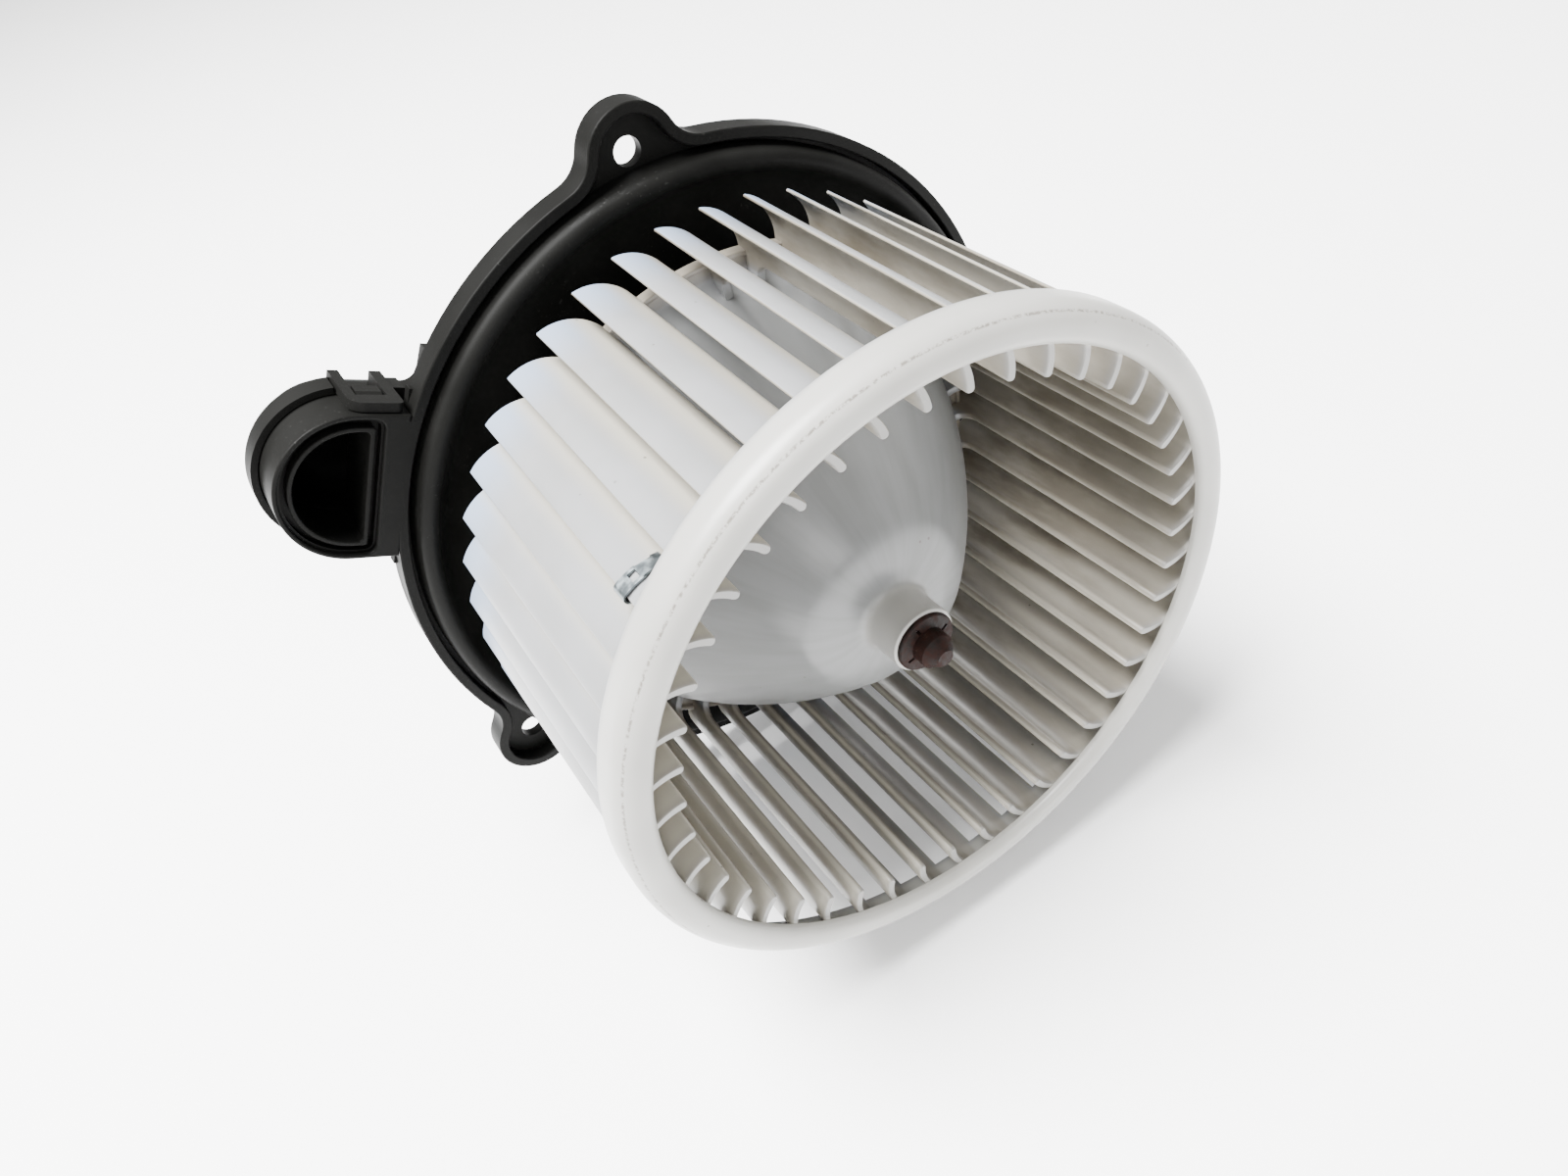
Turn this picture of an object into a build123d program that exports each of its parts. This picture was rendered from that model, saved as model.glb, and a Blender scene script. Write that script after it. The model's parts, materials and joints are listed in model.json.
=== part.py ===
"""Car heater blower: squirrel-cage wheel, brush motor, flange housing and rear cover.

Millimetres. The spin axis is Y: the wheel's mouth faces -Y and the motor's rear +Y.
+Z runs up through the upper mounting ear. The origin is the centre of the three
mounting holes, on the front plane of the ears.
"""
from build123d import *
import os
from math import acos, cos, degrees, radians, sin

# Wheel
WHEEL_R = 75.0
WHEEL_REAR_Y = -13.2
RING_FRONT_Y = -93.2
RING_BACK_Y = -84.2
RING_INNER_R = 67.6
BLADE_COUNT = 43
BLADE_TIP_R = 72.9
BLADE_FRONT_Y = -90.2
BLADE_PHASE = 1.3
BLADE_TWIST = 1.3
BLADE_HALF_THICK = (0.3, 0.65, 0.95)
ROOT_TOP = 12.5
ROOT_BEND = 6.2
CAMBER_R = 11.78
CAMBER_CENTRE = (61.67, 3.57)
CAMBER_TIP_ANGLE = -17.6
CAMBER_NOSE_ANGLE = -92.3
HUB_PLATE_R = 62.8
HUB_PLATE_THICK = 2.6
DOME_BASE_R = 57.5
DOME_WALL = 2.0
BOSS_R = 7.5
BOSS_END_Y = -81.2
BOSS_BASE_Y = -71.0
CLIP_BLADE = 16
CLIP_Y = -78.2
CLIP_GAP = 0.85
CLIP_THICK = 0.35

# Flange housing
RIM_R = 83.8
RIM_WALL = 2.5
RIM_FRONT_Y = -3.8
FLANGE_BACK_Y = 2.8
BEAD_R = 77.4
BEAD_CREST_Y = -7.1
EAR_PCD = 168.0
EAR_R = 10.5
EAR_HOLE_R = 3.1
EAR_ANGLES = (90.0, 210.0, 330.0)
EAR_FILLET = 8.0
CUP_R = 38.7
CUP_BORE_R = 36.4
CUP_FRONT_Y = -40.0
CUP_BACK_Y = 22.0

# Cooling-air inlet beside the flange, in local (out, across) coordinates
DUCT_ANGLE = 150.0
DUCT_CENTRE = 92.2
DUCT_OUTER_R = 16.4
DUCT_BORE_R = 12.5
DUCT_FLAT = 90.1
DUCT_ROOT = 82.4
SPIGOT_FLAT = 86.6
DUCT_SPIGOT_Y = 12.3

# Rear cover
COVER_R = 46.0
COVER_BACK_Y = 41.0
COVER_WALL = 2.0
LUG_BACK_Y = 5.4
CHANNEL_HALF_WIDTH = 14.4
CHANNEL_BACK_Y = 27.0
COLLAR_R = 18.1
COLLAR_ROOT = 80.8
COLLAR_FRONT_Y = 6.9
COLLAR_BACK_Y = 15.0
COLLAR_ROUND = 3.0
SPIGOT_GAP = 0.3
INLET_SPLIT = 84.6
ELBOW_SPLIT = 50.0
LOOP_FRONT_Y = -2.9
LOOP_SIDES = (83.6, 94.5)
LOOP_WINDOW = (86.0, 92.3)
LOOP_BAR_Y = 1.4
LOOP_THICK = 2.0
SCREW_ANGLES = (30.0, 270.0)
SCREW_PCR = 52.0
SCREW_CORE_R = 1.6

# Motor
CAN_R = 32.5
CAN_WALL = 1.8
CAN_FRONT_Y = -35.0
CAN_BACK_Y = 28.0
SHAFT_R = 4.0
SHAFT_TIP_Y = -88.2
PRESS_BORE_R = 4.02
BEARING_BORE_R = 4.03
BEARING_BALL_R = 8.2
BEARING_LENGTH = 6.0
FRONT_BEARING_Y = -38.2
REAR_BEARING_Y = 32.0
SLOT_COUNT = 12
CORE_R = 23.2
CORE_Y = (-20.0, 6.0)
COMMUTATOR_R = 11.0
COMMUTATOR_Y = (13.5, 24.5)
MAGNET_R = (24.0, 30.5)
MAGNET_Y = (-24.0, 10.0)
MAGNET_SPAN = 130.0
BRUSH_SIZE = (5.0, 7.0, 11.0)
BRUSH_Y = 19.0
CARD_Y = (23.2, 25.0)

# Connector
SOCKET_Z = -24.0
SOCKET_SIZE = (22.0, 13.0)
SOCKET_END_Y = 55.0
PIN_SPACING = 10.0


def front_plane(y):
    """Plane square to the axis at y: local x is X, local y is Z, extrusion goes to -Y."""
    return Plane(origin=(0, y, 0), x_dir=(1, 0, 0), z_dir=(0, -1, 0))


def prism(sketch, y_front, y_back):
    """A sketch drawn as (X, Z), made solid between two stations on the axis."""
    return extrude(front_plane(y_back) * sketch, amount=y_back - y_front)


def turned(*points):
    """Solid of revolution about Y of a polygon of (radius, y) points."""
    return revolve(make_face(Polyline(*points, close=True)), Axis.Y)


def tube(inner, outer, y_front, y_back):
    return turned((inner, y_front), (outer, y_front), (outer, y_back), (inner, y_back))


def rod(radius, y_front, y_back):
    return prism(Circle(radius), y_front, y_back)


def spun(shape, angle):
    """Turn a shape about the axis, counterclockwise as seen from the mouth."""
    return Rot(0, -angle, 0) * shape


def ring_of(shape, angles):
    return [spun(shape, angle) for angle in angles]


def steps(count, phase=0.0):
    return [phase + 360.0 / count * i for i in range(count)]


def arc_sector(inner, outer, span):
    """Flat arc-shaped region centred on +X."""
    half = radians(span / 2)
    reach = 2 * outer
    wedge = make_face(Polyline(
        (0, 0), (reach * cos(half), reach * sin(half)), (reach, 0),
        (reach * cos(half), -reach * sin(half)), close=True))
    return (Circle(outer) - Circle(inner)) & wedge


# ---------------------------------------------------------------- wheel

def dome_radius(depth):
    """Outer radius of the bell-shaped hub at a depth forward of the wheel's rear."""
    return DOME_BASE_R * (1 - ((depth + 6.2) / 76.58) ** 1.64) ** (1 / 1.14)


def dome_curve(offset, depths):
    return [(dome_radius(d) - offset, WHEEL_REAR_Y - d) for d in depths]


def wheel_hub():
    plate_y = WHEEL_REAR_Y - HUB_PLATE_THICK
    outer = dome_curve(0.0, (9, 16, 24, 32, 40, 48, 53))
    inner = dome_curve(DOME_WALL, (50, 44, 36, 28, 20, 12, 5, 0))
    shoulder = [(19.4, BOSS_BASE_Y + 2.2), (14.6, BOSS_BASE_Y + 0.7), (10.4, BOSS_BASE_Y + 0.1),
                (8.3, BOSS_BASE_Y - 0.6), (BOSS_R, BOSS_BASE_Y - 2.2)]
    skin = Spline((59.5, plate_y), (56.0, plate_y - 2.0), *outer, *shoulder, tangents=[(-1, 0), (0, -1)])
    cavity = Spline(*inner)
    bore_y = -62.0
    section = make_face([
        Polyline(cavity @ 1, (HUB_PLATE_R, WHEEL_REAR_Y), (HUB_PLATE_R, plate_y - 0.8),
                 (HUB_PLATE_R - 1.2, plate_y - 0.8), (HUB_PLATE_R - 1.2, plate_y), skin @ 0),
        skin,
        Polyline(skin @ 1, (BOSS_R, BOSS_END_Y), (PRESS_BORE_R, BOSS_END_Y),
                 (PRESS_BORE_R, bore_y), (9.0, bore_y), cavity @ 0),
        cavity])
    return revolve(section, Axis.Y)


def wheel_ring():
    """Rounded band that ties the blades together at the mouth."""
    front = RING_FRONT_Y
    back = RING_BACK_Y
    shoulder = 4.6
    section = make_face([
        Polyline((BLADE_TIP_R - 0.4, back), (WHEEL_R - 0.4, back), (WHEEL_R, back - 0.8),
                 (WHEEL_R, front + shoulder)),
        ThreePointArc((WHEEL_R, front + shoulder), (WHEEL_R - 1.4, front + 1.35),
                      (WHEEL_R - shoulder, front)),
        ThreePointArc((WHEEL_R - shoulder, front), (RING_INNER_R + 0.8, front + 0.45),
                      (RING_INNER_R, front + 1.7)),
        Polyline((RING_INNER_R, front + 1.7), (RING_INNER_R + 0.3, BLADE_FRONT_Y + 0.1),
                 (70.6, BLADE_FRONT_Y + 0.1), (BLADE_TIP_R - 0.4, BLADE_FRONT_Y + 2.2),
                 (BLADE_TIP_R - 0.4, back))])
    return revolve(section, Axis.Y)


def camber_point(angle, offset):
    turn = radians(angle)
    reach = CAMBER_R + offset
    return (CAMBER_CENTRE[0] + reach * cos(turn), CAMBER_CENTRE[1] + reach * sin(turn))


def wheel_blade():
    """One forward-curved blade, its tip on +X, with the curved root that joins the dome."""
    tip, nose = CAMBER_TIP_ANGLE, CAMBER_NOSE_ANGLE
    middle = (tip + nose) / 2
    thin, mid, thick = BLADE_HALF_THICK
    nose_x, nose_z = camber_point(nose, 0.0)
    section = make_face([
        ThreePointArc(camber_point(tip, thin), camber_point(middle, mid), camber_point(nose, thick)),
        ThreePointArc(camber_point(nose, thick), (nose_x - thick, nose_z), camber_point(nose, -thick)),
        ThreePointArc(camber_point(nose, -thick), camber_point(middle, -mid), camber_point(tip, -thin)),
        ThreePointArc(camber_point(tip, -thin), camber_point(tip + 1.3, 0.0), camber_point(tip, thin))])
    rear_end = front_plane(WHEEL_REAR_Y) * section
    front_end = front_plane(BLADE_FRONT_Y) * Rot(0, 0, BLADE_TWIST) * section
    blade = loft([rear_end, front_end], ruled=True)
    root_top = WHEEL_REAR_Y - ROOT_TOP
    bend_at = (54.2, WHEEL_REAR_Y - ROOT_BEND)
    root = make_face([
        Polyline((nose_x - 0.7, root_top), (nose_x + 0.6, root_top), (nose_x + 0.6, WHEEL_REAR_Y),
                 (55.6, WHEEL_REAR_Y), bend_at),
        ThreePointArc(bend_at, (nose_x - 2.4, WHEEL_REAR_Y - 7.9), (nose_x - 0.7, root_top))])
    web = Pos(0, 0, nose_z - 0.7) * extrude(root, amount=1.4)
    return blade + web


def wheel_pieces():
    """The wheel's hub, its blades and its ring, which meet face to face."""
    hub = wheel_hub()
    ring = wheel_ring()
    blade = wheel_blade() - hub - ring
    blades = ring_of(blade, steps(BLADE_COUNT, BLADE_PHASE))
    return hub, Compound(children=blades), ring


def clip_leg(length, side):
    """Strip that follows a blade's face inwards from its tip, in degrees of camber."""
    tip = CAMBER_TIP_ANGLE
    near, far = CLIP_GAP * side, (CLIP_GAP + CLIP_THICK) * side
    return make_face([
        ThreePointArc(camber_point(tip, near), camber_point(tip - length / 2, near),
                      camber_point(tip - length, near)),
        Line(camber_point(tip - length, near), camber_point(tip - length, far)),
        ThreePointArc(camber_point(tip - length, far), camber_point(tip - length / 2, far),
                      camber_point(tip, far)),
        Line(camber_point(tip, far), camber_point(tip, near))])


def balance_clip():
    """Spring-steel clip folded over the outer edge of one blade, with a hole and a waist."""
    tip = CAMBER_TIP_ANGLE
    half_wide = 1.9
    near, far = CLIP_GAP, CLIP_GAP + CLIP_THICK
    bend = make_face([
        ThreePointArc(camber_point(tip, far), camber_point(tip + 5.9, 0.0), camber_point(tip, -far)),
        Line(camber_point(tip, -far), camber_point(tip, -near)),
        ThreePointArc(camber_point(tip, -near), camber_point(tip + 4.2, 0.0), camber_point(tip, near)),
        Line(camber_point(tip, near), camber_point(tip, far))])
    clip = prism(bend, -half_wide, half_wide)
    clip += prism(clip_leg(40.0, 1), -half_wide, half_wide)
    clip += prism(clip_leg(24.0, -1), -half_wide, half_wide)
    hole_at = camber_point(tip - 14.0, far)
    hole = Pos(hole_at[0], 0, hole_at[1]) * Rot(0, 32.0 - tip, 0) * Cylinder(1.15, 1.6)
    waist_at = camber_point(tip - 26.0, far)
    notches = [Pos(waist_at[0], side * (half_wide + 0.5), waist_at[1]) * Rot(0, 44.0 - tip, 0)
               * Cylinder(0.95, 3.0) for side in (-1, 1)]
    for cut in [hole, *notches]:
        clip -= cut
    lean = BLADE_TWIST * (WHEEL_REAR_Y - CLIP_Y) / (WHEEL_REAR_Y - BLADE_FRONT_Y)
    return spun(Pos(0, CLIP_Y, 0) * clip, BLADE_PHASE + 360.0 / BLADE_COUNT * CLIP_BLADE + lean)


# ---------------------------------------------------------------- flange housing

def polar(radius, angle):
    return Vector(radius * cos(radians(angle)), radius * sin(radians(angle)))


def flange_outline(inset):
    """Rim circle with three ears blended into it, as (X, Z), drawn in by an inset."""
    rim, ear, blend = RIM_R - inset, EAR_R - inset, EAR_FILLET + inset
    reach, gap, out = RIM_R + EAR_FILLET, EAR_R + EAR_FILLET, EAR_PCD / 2
    swing = degrees(acos((out ** 2 + reach ** 2 - gap ** 2) / (2 * out * reach)))
    spacing = 360.0 / len(EAR_ANGLES)
    edges = []
    for angle in EAR_ANGLES:
        hole = polar(out, angle)
        blends = []
        for side in (-1, 1):
            centre = polar(reach, angle + side * swing)
            at_rim = polar(rim, angle + side * swing)
            at_ear = hole + (centre - hole).normalized() * ear
            middle = ((at_rim - centre).normalized() + (at_ear - centre).normalized()).normalized()
            blends.append((at_rim, centre + middle * blend, at_ear))
        before, after = blends
        edges.append(ThreePointArc(*before))
        edges.append(ThreePointArc(before[2], polar(out + ear, angle), after[2]))
        edges.append(ThreePointArc(after[2], after[1], after[0]))
        edges.append(ThreePointArc(after[0], polar(rim, angle + spacing / 2),
                                   polar(rim, angle + spacing - swing)))
    return make_face(edges)


def bowl_and_cup():
    """Raised bead, dish and motor cup, turned about the axis."""
    crest_r = 2.4
    dish_y = -0.9
    dish_back_y = 1.5
    lip_r = 30.5
    section = make_face([
        Polyline((CUP_BORE_R, CUP_BACK_Y), (CUP_R, CUP_BACK_Y), (CUP_R, dish_back_y), (64.5, dish_back_y)),
        ThreePointArc((64.5, dish_back_y), (70.9, 0.2), (75.3, -3.4)),
        Polyline((75.3, -3.4), (77.3, -4.4), (77.6, FLANGE_BACK_Y), (80.4, FLANGE_BACK_Y), (80.2, 0.0),
                 (BEAD_R + crest_r - 0.1, -4.6)),
        ThreePointArc((BEAD_R + crest_r - 0.1, -4.6), (BEAD_R + 0.1, BEAD_CREST_Y), (BEAD_R - 2.2, -6.0)),
        ThreePointArc((BEAD_R - 2.2, -6.0), (70.7, -2.3), (64.5, dish_y)),
        Polyline((64.5, dish_y), (CUP_R, dish_y), (CUP_R, CUP_FRONT_Y), (lip_r, CUP_FRONT_Y),
                 (lip_r, CUP_FRONT_Y + 2), (CUP_BORE_R, CUP_FRONT_Y + 2), (CUP_BORE_R, CUP_BACK_Y))])
    return revolve(section, Axis.Y)


def duct_outline(radius, flat, corner=0.0):
    """D-shaped outline of the air inlet, round side outwards, before it is turned into place."""
    outline = Sketch() + make_face([
        ThreePointArc((DUCT_CENTRE, radius), (DUCT_CENTRE + radius, 0), (DUCT_CENTRE, -radius)),
        Polyline((DUCT_CENTRE, -radius), (flat, -radius), (flat, radius), (DUCT_CENTRE, radius))])
    if corner:
        corners = [v for v in outline.vertices() if abs(v.X - flat) < 0.01]
        outline = fillet(corners, corner)
    return outline


def inlet_duct():
    """The inlet's D-shaped wall, its spigot behind the flange and the plate that joins it to the dish."""
    duct = prism(duct_outline(DUCT_OUTER_R, DUCT_ROOT), RIM_FRONT_Y, FLANGE_BACK_Y)
    duct += prism(duct_outline(DUCT_OUTER_R, SPIGOT_FLAT, 3.0), FLANGE_BACK_Y, DUCT_SPIGOT_Y)
    duct -= prism(Circle(RIM_R - RIM_WALL), RIM_FRONT_Y - 1, 0.0)
    duct += prism(Pos(60.0, 0) * Rectangle(44.0, 41.0), 0.3, FLANGE_BACK_Y)
    return duct + catch_wedge()


def inlet_cuts():
    """Bore, seal groove with its ledge, and the inner wall's lowered edge."""
    front = RIM_FRONT_Y - 1
    inner_wall = duct_outline(DUCT_BORE_R + 1.0, 89.1, 0.8)
    return [
        prism(duct_outline(15.4, 87.3, 2.2), front, RIM_FRONT_Y + 0.5),
        prism(duct_outline(15.4, 87.3, 2.2) - inner_wall, front, RIM_FRONT_Y + 1.3),
        prism(duct_outline(14.8, 87.8, 1.8) - inner_wall, front, RIM_FRONT_Y + 3.4),
        prism(duct_outline(DUCT_BORE_R, DUCT_FLAT, 1.0), front, DUCT_SPIGOT_Y + 1)]


def edges_at(shape, y):
    """Edges of a shape that lie in one plane square to the axis."""
    return [edge for edge in shape.edges()
            if all(abs((edge @ share).Y - y) < 0.01 for share in (0.0, 0.5, 1.0))]


def flange_housing():
    shell = prism(Sketch() + flange_outline(0.0), RIM_FRONT_Y, FLANGE_BACK_Y)
    shell -= prism(flange_outline(RIM_WALL), RIM_FRONT_Y - 1, 0.0)
    shell -= rod(79.2, RIM_FRONT_Y - 1, FLANGE_BACK_Y + 1)
    shell += bowl_and_cup()
    shell += spun(inlet_duct(), DUCT_ANGLE)
    for cut in inlet_cuts():
        shell -= spun(cut, DUCT_ANGLE)
    shell = shell.fillet(0.4, edges_at(shell, RIM_FRONT_Y))
    shell = shell.fillet(0.3, edges_at(shell, RIM_FRONT_Y + 0.5))
    shell = shell.fillet(0.4, edges_at(shell, DUCT_SPIGOT_Y))

    hole = Pos(EAR_PCD / 2, 0, 0) * rod(EAR_HOLE_R, -6.0, 6.0)
    boss = Pos(SCREW_PCR, 0, 0) * rod(4.2, -8.0, FLANGE_BACK_Y)
    pilot = Pos(SCREW_PCR, 0, 0) * rod(SCREW_CORE_R, -6.5, 6.0)
    for angle in EAR_ANGLES:
        shell -= spun(hole, angle)
    for angle in SCREW_ANGLES:
        shell += spun(boss, angle)
        shell -= spun(pilot, angle)
    for rib in back_ribs():
        shell += rib
    return shell


def back_ribs():
    """Radial stiffening ribs behind the dish."""
    rib = make_face(Polyline((50.5, 1.4), (65.0, 1.4), (71.0, -0.4), (75.0, -3.5), (77.8, -3.5),
                             (77.8, FLANGE_BACK_Y), (50.5, FLANGE_BACK_Y), close=True))
    blade = Pos(0, 0, -0.8) * extrude(rib, amount=1.6)
    angles = [a for a in steps(18, 10.0) if abs(a - DUCT_ANGLE) > 22 and
              all(abs(a - s) > 9 for s in SCREW_ANGLES)]
    return ring_of(blade, angles)


def catch_wedge():
    """Ramp on the inlet's upper side that the cover's loop snaps over."""
    side = -DUCT_OUTER_R
    ramp = Polyline((1.8, side + 0.3), (1.8, side - 1.3), (3.4, side - 2.2), (6.6, side - 2.2),
                    (6.6, side + 0.3), close=True)
    profile = Plane(origin=(86.5, 0, 0), x_dir=(0, 1, 0), z_dir=(1, 0, 0)) * make_face(ramp)
    return extrude(profile, amount=5.3)


def split_beyond(shape, distance):
    """Cut a shape face to face into its main part and its part around the inlet."""
    region = spun(Pos(distance + 40, 5, 0) * Box(80, 60, 60), DUCT_ANGLE)
    return shape - region, shape & region


# ---------------------------------------------------------------- rear cover

def stadium(half_width, root):
    """Channel outline: round around the inlet, straight towards the axis."""
    straight = DUCT_CENTRE - root
    return Pos(DUCT_CENTRE, 0) * Circle(half_width) + Pos(DUCT_CENTRE - straight / 2, 0) * Rectangle(
        straight, 2 * half_width)


def rounded_back(form, y, root, radius):
    """Round a form's rear edges, except the one that closes it at its root."""
    edges = [edge for edge in edges_at(form, y) if edge.center().X > root + 1]
    return form.fillet(radius, edges)


def cover_form(inset):
    """Cup over the motor's rear and the elbow channel that leads to it."""
    cup = rod(COVER_R - inset, FLANGE_BACK_Y, COVER_BACK_Y - inset)
    cup = fillet(cup.edges().group_by(Axis.Y)[-1], 6.0 - inset)
    channel = prism(stadium(CHANNEL_HALF_WIDTH - inset, 0.0), FLANGE_BACK_Y, CHANNEL_BACK_Y - inset)
    channel = rounded_back(channel, CHANNEL_BACK_Y - inset, 0.0, 8.0 - inset)
    return cup + spun(channel, DUCT_ANGLE)


def collar():
    """Band around the inlet's spigot, with the web that runs out along the flange's edge."""
    band = prism(stadium(COLLAR_R, COLLAR_ROOT), COLLAR_FRONT_Y, COLLAR_BACK_Y)
    band = rounded_back(band, COLLAR_BACK_Y, COLLAR_ROOT, COLLAR_ROUND)
    web = make_face([
        Line((84.0, -COLLAR_R), (COLLAR_ROOT, -COLLAR_R)),
        ThreePointArc((COLLAR_ROOT, -COLLAR_R), (78.2, -19.2), (77.2, -21.8)),
        Polyline((77.2, -21.8), (76.9, -26.5), (75.0, -26.5), (75.0, -CHANNEL_HALF_WIDTH + 1),
                 (84.0, -CHANNEL_HALF_WIDTH + 1), (84.0, -COLLAR_R))])
    return band + prism(web, COLLAR_FRONT_Y, 11.0)


def rear_cover():
    body = cover_form(0.0)
    screw_lug = Pos(SCREW_PCR, 0, 0) * rod(5.6, FLANGE_BACK_Y, LUG_BACK_Y)
    neck = prism(Pos(46.5, 0) * Rectangle(8.0, 11.2), FLANGE_BACK_Y, LUG_BACK_Y)
    for angle in SCREW_ANGLES:
        body += spun(screw_lug + neck, angle)
    body += spun(collar(), DUCT_ANGLE)
    body -= cover_form(COVER_WALL)
    spigot_room = prism(duct_outline(DUCT_OUTER_R + SPIGOT_GAP, SPIGOT_FLAT - SPIGOT_GAP, 3.0),
                        0.0, DUCT_SPIGOT_Y + 0.2)
    rim_room = prism(Pos(DUCT_CENTRE, 0) * Rectangle(20.0, 60.0), 0.0, COLLAR_FRONT_Y)
    body -= spun(spigot_room, DUCT_ANGLE)
    body -= spun(rim_room, DUCT_ANGLE)
    screw_hole = Pos(SCREW_PCR, 0, 0) * rod(2.2, 0.0, 8.0)
    for angle in SCREW_ANGLES:
        body -= spun(screw_hole, angle)
    post = prism(Pos(34.9, 0) * Rectangle(2.6, 6.0), CUP_BACK_Y + 0.2, COVER_BACK_Y - COVER_WALL + 0.5)
    for angle in steps(4, 15.0):
        body += spun(post, angle)
    for cut in latch_gaps():
        body -= spun(cut, DUCT_ANGLE)
    body += spun(latch_loop(), DUCT_ANGLE)
    window = Pos(0, 0, SOCKET_Z) * prism(Rectangle(SOCKET_SIZE[0] + 0.3, SOCKET_SIZE[1] + 0.3), 30.0, 45.0)
    return body - window


def latch_loop():
    """Bar and two arms that reach forward from the collar, over the catch."""
    low, high = LOOP_SIDES
    face = -(DUCT_OUTER_R + SPIGOT_GAP + LOOP_THICK)
    front, back = LOOP_FRONT_Y, COLLAR_BACK_Y - 0.4
    outline = Sketch() + make_face(Polyline((back, low), (front, low), (front, high), (back, high), close=True))
    corners = outline.vertices().group_by(Axis.X)[0].sort_by(Axis.Y)
    outline = fillet(corners[0], 1.4)
    outline = fillet(outline.vertices().sort_by(Axis.Y)[-2:].sort_by(Axis.X)[0], 3.0)
    outline -= Pos((LOOP_BAR_Y + back + 1) / 2, sum(LOOP_WINDOW) / 2) * Rectangle(
        back + 1 - LOOP_BAR_Y, LOOP_WINDOW[1] - LOOP_WINDOW[0])
    plate = Plane(origin=(0, 0, face), x_dir=(0, 1, 0), z_dir=(0, 0, -1)) * outline
    return extrude(plate, amount=-LOOP_THICK)


def latch_gaps():
    """Window behind the bar and the slit that frees the outer arm."""
    low, high = LOOP_WINDOW
    window = prism(Pos((low + high) / 2, -20.6) * Rectangle(high - low, 12.0), 0.0, 20.0)
    slit = prism(Pos(LOOP_SIDES[1] + 0.25, -20.6) * Rectangle(0.5, 8.0), 0.0, 12.0)
    return [window, slit]


def cover_screws():
    screws = []
    for angle in SCREW_ANGLES:
        head = Pos(SCREW_PCR, 0, 0) * rod(3.8, LUG_BACK_Y, LUG_BACK_Y + 2.4)
        head = fillet(head.edges().group_by(Axis.Y)[-1], 1.0)
        shank = Pos(SCREW_PCR, 0, 0) * rod(SCREW_CORE_R - 0.02, -6.0, LUG_BACK_Y)
        cross = prism(Pos(SCREW_PCR, 0) * (Rectangle(4.2, 0.9) + Rectangle(0.9, 4.2)), 6.6, 8.0)
        screws.append(spun(head + shank - cross, angle))
    return Compound(children=screws)


# ---------------------------------------------------------------- motor case

def motor_can():
    inner = CAN_R - CAN_WALL
    boss_r = 10.2
    seat_r = BEARING_BALL_R + 0.05
    section = make_face([
        Polyline((CAN_R, CAN_BACK_Y), (CAN_R, CAN_FRONT_Y + 3)),
        ThreePointArc((CAN_R, CAN_FRONT_Y + 3), (CAN_R - 0.88, CAN_FRONT_Y + 0.88), (CAN_R - 3, CAN_FRONT_Y)),
        Polyline((CAN_R - 3, CAN_FRONT_Y), (boss_r, CAN_FRONT_Y), (boss_r, -43.0), (4.8, -43.0),
                 (4.8, -41.4), (seat_r, -41.4), (seat_r, CAN_FRONT_Y + CAN_WALL),
                 (inner, CAN_FRONT_Y + CAN_WALL), (inner, CAN_BACK_Y), (CAN_R, CAN_BACK_Y))])
    can = revolve(section, Axis.Y)
    vent = prism(arc_sector(15.0, 25.0, 50.0), CAN_FRONT_Y - 1, CAN_FRONT_Y + 3)
    for angle in steps(4, 45.0):
        can -= spun(vent, angle)
    return can


def end_plate():
    seat_r = BEARING_BALL_R + 0.05
    plate = turned((seat_r, 26.0), (30.6, 26.0), (30.6, 28.0), (10.2, 28.0), (10.2, 37.5),
                   (4.8, 37.5), (4.8, 36.0), (seat_r, 36.0))
    vent = prism(arc_sector(14.5, 27.5, 54.0), 25.0, 29.0)
    for angle in steps(4):
        plate -= spun(vent, angle)
    return plate


def magnet(angle):
    return spun(prism(arc_sector(MAGNET_R[0], MAGNET_R[1], MAGNET_SPAN), *MAGNET_Y), angle)


def magnet_clips():
    """Bowed spring strips that hold the magnets apart."""
    strip = arc_sector(28.9, 29.6, 42.0)
    leg = arc_sector(25.5, 29.6, 42.0) - arc_sector(25.4, 29.7, 40.0)
    clip = prism(strip + leg, -18.0, 4.0)
    return Compound(children=[spun(clip, 90.0), spun(clip, 270.0)])


def front_isolator():
    """Rubber ring between the can and the cup, with a lip over the can's end."""
    return turned((28.0, -37.9), (36.3, -37.9), (36.3, -27.0), (32.6, -27.0), (32.6, -35.1), (28.0, -35.1))


def rear_isolator():
    groove = tube(35.6, 37.0, 15.5, 18.5)
    return tube(32.6, 36.3, 12.0, CUP_BACK_Y) - groove


def bearing(y):
    ball = Pos(0, y, 0) * Sphere(BEARING_BALL_R)
    band = rod(BEARING_BALL_R + 1, y - BEARING_LENGTH / 2, y + BEARING_LENGTH / 2)
    return (ball & band) - rod(BEARING_BORE_R, y - 10, y + 10)


def oil_felts():
    return Compound(children=[tube(4.6, 8.1, -35.0, -33.3), tube(4.6, 8.1, 26.9, 28.9)])


def bearing_retainers():
    star = Circle(12.0) - Circle(4.8)
    for angle in steps(6):
        star -= Rot(0, 0, angle) * Pos(9.6, 0) * Rectangle(5.2, 2.4)
    return Compound(children=[prism(star, -33.1, -32.5), prism(star, 25.3, 25.9)])


# ---------------------------------------------------------------- brush gear

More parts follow.
